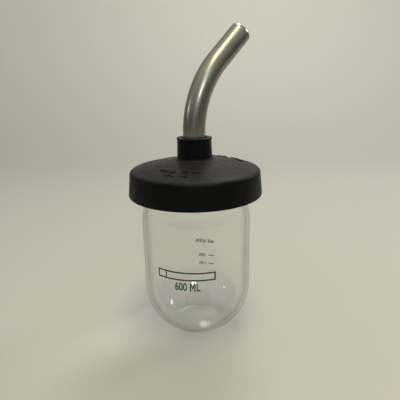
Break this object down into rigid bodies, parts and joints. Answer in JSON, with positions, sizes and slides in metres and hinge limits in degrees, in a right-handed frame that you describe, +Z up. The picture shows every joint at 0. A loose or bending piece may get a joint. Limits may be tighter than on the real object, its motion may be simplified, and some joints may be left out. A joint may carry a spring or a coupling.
{
  "type": "freeze-drying flask",
  "caption": "Wide-mouth round-bottom glass flask for freeze-drying, with a lift-off moulded rubber cap and a bent steel adapter tube that turns in its collar.",
  "frame": {"origin": "middle of the jar's base, on the bench", "axes": "+Z up the jar's axis; the tube bends over towards azimuth 40 degrees, measured from +X to +Y; the printed side faces -Y"},
  "size_m": [0.116, 0.116, 0.2685],
  "materials": {
    "borosilicate_glass": "clear heavy-wall glass, fire-polished rim",
    "black_rubber": "moulded black rubber, satin",
    "stainless_steel": "drawn and bent stainless tube, satin",
    "filter_paper": "white filter paper",
    "fired_enamel": "dark and green enamel print fired on the glass"
  },
  "bodies": {
    "jar": {"glass_jar": "borosilicate_glass"},
    "cap": {"rubber_cap": "black_rubber", "filter_paper": "filter_paper"},
    "adapter": {"bent_adapter_tube": "stainless_steel"}
  },
  "joints": [
    {"name": "cap_lift", "type": "slide", "parent": "jar", "child": "cap", "axis": [0, 0, 1], "range_m": [0, 0.08]},
    {"name": "adapter_swivel", "type": "hinge", "parent": "cap", "child": "adapter", "pos_m": [0, 0, 0.1764], "axis": [0, 0, 1], "continuous": true}
  ]
}
